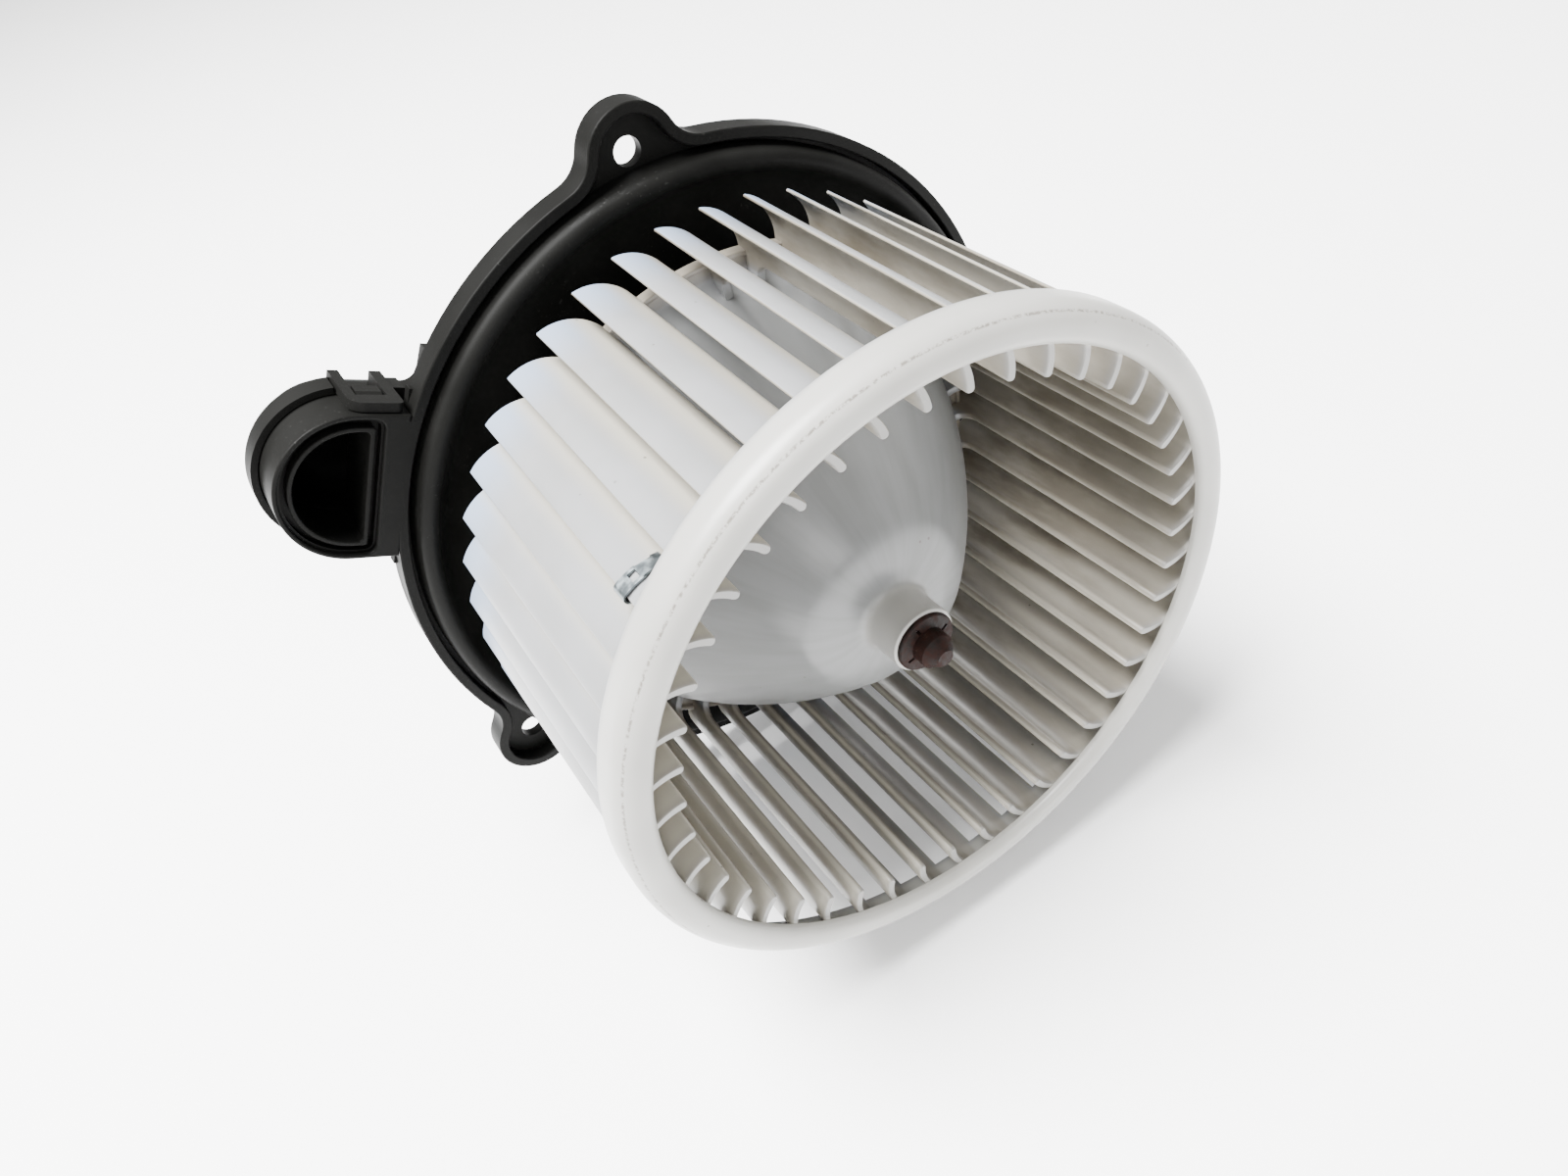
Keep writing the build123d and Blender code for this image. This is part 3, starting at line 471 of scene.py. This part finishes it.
def rounded(points, steps=6):
    """Points of a closed outline with rounded corners. Each is (x, y, radius)."""
    result = []
    count = len(points)
    for i, (x, y, r) in enumerate(points):
        here = Vector((x, y))
        if r <= 0:
            result.append(here)
            continue
        before = (Vector(points[i - 1][:2]) - here).normalized()
        after = (Vector(points[(i + 1) % count][:2]) - here).normalized()
        half = before.angle(after) / 2
        reach = r / max(1e-6, abs(sin(half) / cos(half)))
        centre = here + (before + after).normalized() * (r / sin(half))
        first = here + before * reach - centre
        last = here + after * reach - centre
        sweep = first.angle_signed(last)
        for k in range(steps + 1):
            turn = -sweep * k / steps
            result.append(centre + Vector((first.x * cos(turn) - first.y * sin(turn),
                                           first.x * sin(turn) + first.y * cos(turn))))
    return result


def lathe(outline):
    """Closed mesh turned about the spin axis from (radius, y) points, in metres."""
    mesh = bmesh.new()
    rings = []
    for k in range(ROUND_STEPS):
        turn = 2 * pi * k / ROUND_STEPS
        rings.append([mesh.verts.new((p[0] * cos(turn) * MM, p[1] * MM, p[0] * sin(turn) * MM))
                      for p in outline])
    for k in range(ROUND_STEPS):
        stitch(mesh, rings[k], rings[(k + 1) % ROUND_STEPS])
    bmesh.ops.recalc_face_normals(mesh, faces=mesh.faces)
    return mesh


def stitch(mesh, this, following):
    """Band of faces between two closed rows of as many vertices."""
    for i in range(len(this)):
        j = (i + 1) % len(this)
        mesh.faces.new((this[i], this[j], following[j], following[i]))


def tube_mesh(mesh, rows):
    """Closes rows of vertices into one solid, with a face on each end."""
    for this, following in zip(rows, rows[1:]):
        stitch(mesh, this, following)
    mesh.faces.new(rows[0])
    mesh.faces.new(rows[-1][::-1])
    bmesh.ops.recalc_face_normals(mesh, faces=mesh.faces)
    return mesh


def dome_radius(depth):
    """Outer radius of the dome, which narrows towards the boss."""
    return DOME_R * (1 - ((depth + DOME_OFFSET) / DOME_LENGTH) ** 1.64) ** (1 / 1.14)


def smooth_line(points, steps):
    """Catmull-Rom line through (x, y) points."""
    result = []
    ends = [2 * Vector(points[0]) - Vector(points[1])] + [Vector(p) for p in points]
    ends.append(2 * ends[-1] - ends[-2])
    for i in range(1, len(ends) - 2):
        a, b, c, d = ends[i - 1], ends[i], ends[i + 1], ends[i + 2]
        for k in range(steps):
            t = k / steps
            result.append(0.5 * (2 * b + (c - a) * t + (2 * a - 5 * b + 4 * c - d) * t * t
                                 + (3 * b - a - 3 * c + d) * t ** 3))
    result.append(ends[-2])
    return result


def hub_mesh():
    """Hub plate, hollow dome and boss, turned from one outline."""
    dome = [(dome_radius(d), REAR_Y - d) for d in (7, 10, 14, 20, 27, 34, 41, 48, 53)]
    shoulder = [(19.4, BOSS_BASE + 2.2), (14.6, BOSS_BASE + 0.7), (10.4, BOSS_BASE + 0.15),
                (8.8, BOSS_BASE - 0.15), (7.9, BOSS_BASE - 0.8), (BOSS_R, BOSS_BASE - 2.2),
                (BOSS_R, BOSS_BASE - 5.0), (BOSS_R, BOSS_END + 0.6)]
    lip = [(60.9, PLATE_TOP), (58.2, PLATE_TOP - 0.5), (56.2, PLATE_TOP - 2.0)]
    skin = smooth_line(lip + dome + shoulder, 4)
    cavity = [Vector((dome_radius(d) - DOME_WALL, REAR_Y - d)) for d in range(49, 0, -3)]
    end = rounded([(BOSS_R, BOSS_END, 0.5), (BORE_R, BOSS_END, 0.0), (BORE_R, BORE_FLOOR_Y, 0.0),
                   (9.0, BORE_FLOOR_Y, 1.0)])
    edge_y = PLATE_TOP - 0.8
    step_r = PLATE_R - 1.2
    foot = rounded([(dome_radius(0) - DOME_WALL, REAR_Y, 0.4), (PLATE_R, REAR_Y, 0.4),
                    (PLATE_R, edge_y, 0.35), (step_r, edge_y, 0.25), (step_r, PLATE_TOP, 0.2)])
    return lathe(skin + end + cavity + foot)


def ring_mesh():
    """The ring at the mouth, which holds the blades' front ends."""
    wall = TIP_R - 0.4
    outline = rounded([
        (wall, RING_BACK, 0.3), (RING_R, RING_BACK, 0.7), (RING_R, RING_FRONT, 4.7),
        (RING_LIP_R + 0.6, RING_FRONT, 2.2), (RING_LIP_R, RING_FRONT + 1.9, 0.9),
        (RING_LIP_R, FRONT_Y + 0.1, 0.3), (70.4, FRONT_Y + 0.1, 0.0), (wall, FRONT_Y + 2.2, 0.0)], 9)
    return lathe(outline)


def camber(angle, offset):
    """Point of the blade's curve at an angle, moved outwards by an offset."""
    turn = radians(angle)
    return Vector((CAMBER_CENTRE[0] + (CAMBER_R + offset) * cos(turn),
                   CAMBER_CENTRE[1] + (CAMBER_R + offset) * sin(turn)))


def root_reach(depth):
    """How far in a blade's inner edge reaches, as an x, at a depth."""
    nose = CAMBER_CENTRE[0] + CAMBER_R * cos(radians(NOSE_ANGLE))
    if depth < WEB_START or depth >= WEB_TOP:
        return nose
    if depth < WEB_TOP - WEB_BEND:
        return nose - WEB_ACROSS
    rise = (WEB_TOP - depth) / WEB_BEND
    return nose - WEB_ACROSS * (1 - (1 - rise ** WEB_POWER) ** (1 / WEB_POWER))


def half_thickness(share):
    """Half the blade's thickness from tip (0) to inner edge (1)."""
    return TIP_HALF_THICKNESS + (NOSE_HALF_THICKNESS - TIP_HALF_THICKNESS) * share ** 0.8


def blade_section(depth, shrink=0.0):
    """Closed outline of a blade square to the axis, as (x, z) in millimetres."""
    steps = 14
    outer, inner = [], []
    for k in range(steps + 1):
        share = k / steps
        angle = TIP_ANGLE + (NOSE_ANGLE - TIP_ANGLE) * share
        half = half_thickness(share) - shrink
        outer.append(camber(angle, half))
        inner.append(camber(angle, -half))
    nose = camber(NOSE_ANGLE, 0.0)
    edge = root_reach(depth)
    half = half_thickness(1.0) - shrink
    extra = max(0.0, nose.x - edge)
    for k in range(1, 5):
        outer.append(Vector((nose.x - extra * k / 4, nose.y - half)))
        inner.append(Vector((nose.x - extra * k / 4, nose.y + half)))
    cap = []
    for k in range(1, 8):
        turn = -pi / 2 - pi * k / 8
        cap.append(Vector((nose.x - extra + half * cos(turn), nose.y + half * sin(turn))))
    tip_half = half_thickness(0.0) - shrink
    tip = camber(TIP_ANGLE, 0.0)
    along = Vector((-sin(radians(TIP_ANGLE)), cos(radians(TIP_ANGLE))))
    across = Vector((cos(radians(TIP_ANGLE)), sin(radians(TIP_ANGLE))))
    nib = []
    for k in range(1, 6):
        turn = pi * k / 6
        nib.append(tip - across * (tip_half * cos(turn)) + along * (tip_half * sin(turn)))
    return outer + cap + inner[::-1] + nib


def blade_mesh(number):
    """One blade, from sections at closer depths where its shape changes faster."""
    length = BLADE_LENGTH
    depths = [0.0, 0.12, 0.35, 1.1, 1.3, 3.0, 4.6, WEB_TOP - WEB_BEND]
    depths += [WEB_TOP - WEB_BEND * (1 - k / 12) ** 1.5 for k in range(1, 13)]
    depths += [WEB_TOP + (length - WEB_TOP - 0.4) * k / 12 for k in range(1, 13)]
    depths += [length - 0.12, length]
    mesh = bmesh.new()
    rows = []
    for depth in depths:
        near_end = min(depth, length - depth)
        shrink = END_ROUNDING * max(0.0, 1 - near_end / 0.35)
        spin = radians(PHASE + PITCH * number + TWIST * depth / length)
        row = []
        for p in blade_section(depth, shrink):
            x = p.x * cos(spin) - p.y * sin(spin)
            z = p.x * sin(spin) + p.y * cos(spin)
            row.append(mesh.verts.new((x * MM, (REAR_Y - depth) * MM, z * MM)))
        rows.append(row)
    return tube_mesh(mesh, rows)


def to_object(name, mesh, material):
    """Turns a bmesh into an object of the scene."""
    data = bpy.data.meshes.new(name)
    mesh.to_mesh(data)
    mesh.free()
    data.materials.append(material)
    made = bpy.data.objects.new(name, data)
    bpy.context.scene.collection.objects.link(made)
    return made


def apply_union(body, others):
    """Joins closed meshes into one, and removes the others."""
    for other in others:
        union = body.modifiers.new("union", "BOOLEAN")
        union.operation = "UNION"
        union.solver = "MANIFOLD"
        union.object = other
    flatten(body)
    for other in others:
        bpy.data.objects.remove(other, do_unlink=True)


def flatten(body):
    """Applies an object's modifiers to its mesh."""
    graph = bpy.context.evaluated_depsgraph_get()
    result = bpy.data.meshes.new_from_object(body.evaluated_get(graph))
    body.modifiers.clear()
    old = body.data
    body.data = result
    bpy.data.meshes.remove(old)


def smooth(body, angle):
    """Smooth shading, with a hard edge where two faces meet at more than the angle."""
    for face in body.data.polygons:
        face.use_smooth = True
    body.data.set_sharp_from_angle(angle=radians(angle))


def build_wheel(materials):
    """The wheel as one moulding, in place of its three CAD nodes."""
    material = materials["white_plastic"]
    wheel = to_object("wheel", hub_mesh(), material)
    parts = [to_object("wheel_ring", ring_mesh(), material)]
    for number in range(BLADES):
        parts.append(to_object("blade_%02d" % number, blade_mesh(number), material))
    apply_union(wheel, parts)
    smooth(wheel, 32.0)
    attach(wheel, "rotor")
    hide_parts("wheel_hub", "wheel_blades", "wheel_ring")


# ---------------------------------------------------------------- brush springs

SPRING_WIRE_R = 0.25 * MM
SPRING_TURNS = 6
WIRE_SIDES = 8


def coil_mesh(low, high, outer_r, centre):
    """Round wire wound about a line along Z, between two heights of its centre line."""
    coil_r = outer_r - SPRING_WIRE_R
    steps = 20 * SPRING_TURNS
    mesh = bmesh.new()
    rings = []
    for k in range(steps + 1):
        turn = 2 * pi * SPRING_TURNS * k / steps
        outward = Vector((cos(turn), sin(turn), 0))
        middle = Vector((*centre, low + (high - low) * k / steps)) + outward * coil_r
        ring = []
        for i in range(WIRE_SIDES):
            around = 2 * pi * i / WIRE_SIDES
            offset = outward * cos(around) + Vector((0, 0, sin(around)))
            ring.append(mesh.verts.new(middle + SPRING_WIRE_R * offset))
        rings.append(ring)
    return tube_mesh(mesh, rings)


def build_springs(materials):
    """Springs behind the brushes, wound to the length of their CAD nodes and fixed to the housing.
    The real springs shorten as the brushes slide outwards.
    """
    for side in ("upper", "lower"):
        node = "brush_spring_" + side
        low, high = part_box(node)
        centre = ((low[0] + high[0]) / 2, (low[1] + high[1]) / 2)
        outer_r = (high[0] - low[0]) / 2
        mesh = coil_mesh(low[2] + SPRING_WIRE_R, high[2] - SPRING_WIRE_R, outer_r, centre)
        spring = to_object("coil_" + side, mesh, materials["spring_steel"])
        smooth(spring, 50.0)
        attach(spring, "housing")
        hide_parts(node)
        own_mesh(spring)


# ---------------------------------------------------------------- scene

def dress_frame(materials):
    """Gives every CAD node the material of its slot."""
    slots = {part["node"]: part["material_slot"] for part in frame["record"]["subparts"]}
    for node, body in frame["nodes"].items():
        body.data.materials.clear()
        body.data.materials.append(materials[slots[node]])


def main():
    add_camera()
    materials = make_materials()
    dress_frame(materials)
    build_wheel(materials)
    build_springs(materials)
    add_studio()


main()
